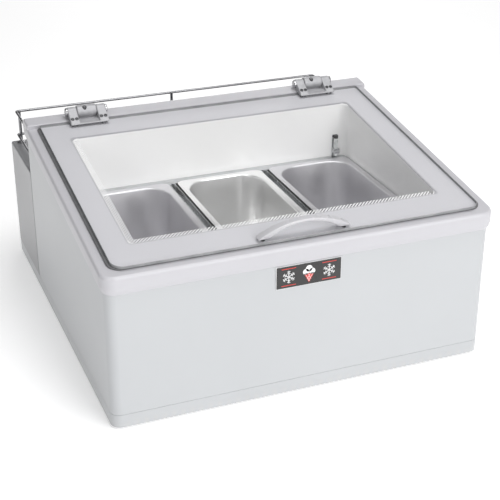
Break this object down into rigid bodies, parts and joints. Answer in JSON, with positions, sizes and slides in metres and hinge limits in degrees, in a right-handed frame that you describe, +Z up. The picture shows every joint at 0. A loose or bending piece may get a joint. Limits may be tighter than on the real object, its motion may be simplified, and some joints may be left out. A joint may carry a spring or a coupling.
{
  "type": "ice cream dipping cabinet",
  "caption": "Countertop cold well with stainless pans under a sloped, rear-hinged glass lid with an arched handle, and a compressor housing with a wire rail behind.",
  "frame": {"origin": "on the counter, under the middle of the cabinet's outer box", "axes": "+Z up, -Y towards the server at the front and the handle, +Y towards the compressor housing, +X to the right seen from the front"},
  "size_m": [0.712, 0.747, 0.3887],
  "materials": {
    "white_enamel": "satin white enamel on sheet steel",
    "white_moulding": "moulded white plastic, slightly glossy",
    "foam": "rigid polyurethane foam",
    "copper": "drawn copper, slightly dull",
    "pan_steel": "pressed stainless steel, bright flange and satin well",
    "frame_steel": "brushed stainless steel sheet",
    "rail_chrome": "bright chromed wire",
    "hinge_casting": "satin cast hinge metal",
    "pin_steel": "polished steel",
    "screw_steel": "dark zinc-plated screw",
    "black_rubber": "black rubber",
    "black_plastic": "black moulded plastic",
    "plate_black": "glossy black plate with a plain pictogram",
    "rocker_red": "translucent red plastic",
    "clear_glass": "toughened glass with a printed grey border",
    "handle_white": "white moulded plastic",
    "compressor_black": "black stove enamel",
    "fin_aluminium": "thin aluminium fins",
    "zinc_sheet": "galvanised steel sheet",
    "fan_plastic": "grey moulded plastic",
    "thermostat_case": "beige moulded plastic",
    "probe_metal": "bright tube"
  },
  "bodies": {
    "cabinet": {"base_tray": "white_enamel", "rubber_feet": "black_rubber", "outer_skin": "white_enamel", "insulation": "foam", "inner_tub": "white_moulding", "evaporator_coil": "copper", "top_collar": "white_moulding", "lid_seal": "black_rubber", "pan_frame": "frame_steel", "divider_bars": "frame_steel", "probe_bracket": "frame_steel", "probe_tube": "probe_metal", "probe_clip": "frame_steel", "front_plate": "plate_black", "housing_cover": "white_enamel", "rear_panel": "white_enamel", "panel_screws": "screw_steel", "compressor": "compressor_black", "compressor_grommets": "black_rubber", "terminal_box": "black_plastic", "condenser": "fin_aluminium", "fan_shroud": "zinc_sheet", "fan_motor": "zinc_sheet", "filter_drier": "copper", "suction_pipe": "copper", "discharge_pipe": "copper", "thermostat": "thermostat_case", "switch_body": "black_plastic", "cord_gland": "black_plastic", "rail_top_wire": "rail_chrome", "rail_low_wire": "rail_chrome", "rail_posts": "rail_chrome", "rail_feet": "rail_chrome", "hinge_bracket_left": "hinge_casting", "hinge_bracket_right": "hinge_casting", "bracket_screws": "screw_steel"},
    "lid": {"hinge_leaf_left": "hinge_casting", "hinge_leaf_right": "hinge_casting", "hinge_pin_left": "pin_steel", "hinge_pin_right": "pin_steel", "clamp_plates": "frame_steel", "leaf_screws": "screw_steel", "lid_glass": "clear_glass", "lid_handle": "handle_white", "handle_screws": "screw_steel"},
    "fan": {"fan_blades": "fan_plastic"},
    "thermostat_dial": {"thermostat_shaft": "pin_steel", "thermostat_knob": "black_plastic"},
    "power_rocker": {"switch_rocker": "rocker_red"},
    "left_pan": {"pan_left": "pan_steel"},
    "centre_pan": {"pan_centre": "pan_steel"},
    "right_pan": {"pan_right": "pan_steel"}
  },
  "joints": [
    {"name": "lid_hinge", "type": "hinge", "parent": "cabinet", "child": "lid", "pos_m": [0, 0.1578, 0.37721], "axis": [-1, 0, 0], "range_deg": [0, 85]},
    {"name": "fan_spin", "type": "hinge", "parent": "cabinet", "child": "fan", "pos_m": [0.2, 0.27175, 0.103], "axis": [1, 0, 0], "continuous": true},
    {"name": "thermostat_turn", "type": "hinge", "parent": "cabinet", "child": "thermostat_dial", "pos_m": [-0.056, 0.3575, 0.14], "axis": [0, 1, 0], "range_deg": [0, 270]},
    {"name": "rocker_tilt", "type": "hinge", "parent": "cabinet", "child": "power_rocker", "pos_m": [-0.001, 0.359, 0.14], "axis": [-1, 0, 0], "range_deg": [0, 12]},
    {"name": "left_pan_lift", "type": "slide", "parent": "cabinet", "child": "left_pan", "axis": [0, 0, 1], "range_m": [0, 0.05]},
    {"name": "centre_pan_lift", "type": "slide", "parent": "cabinet", "child": "centre_pan", "axis": [0, 0, 1], "range_m": [0, 0.05]},
    {"name": "right_pan_lift", "type": "slide", "parent": "cabinet", "child": "right_pan", "axis": [0, 0, 1], "range_m": [0, 0.05]}
  ]
}
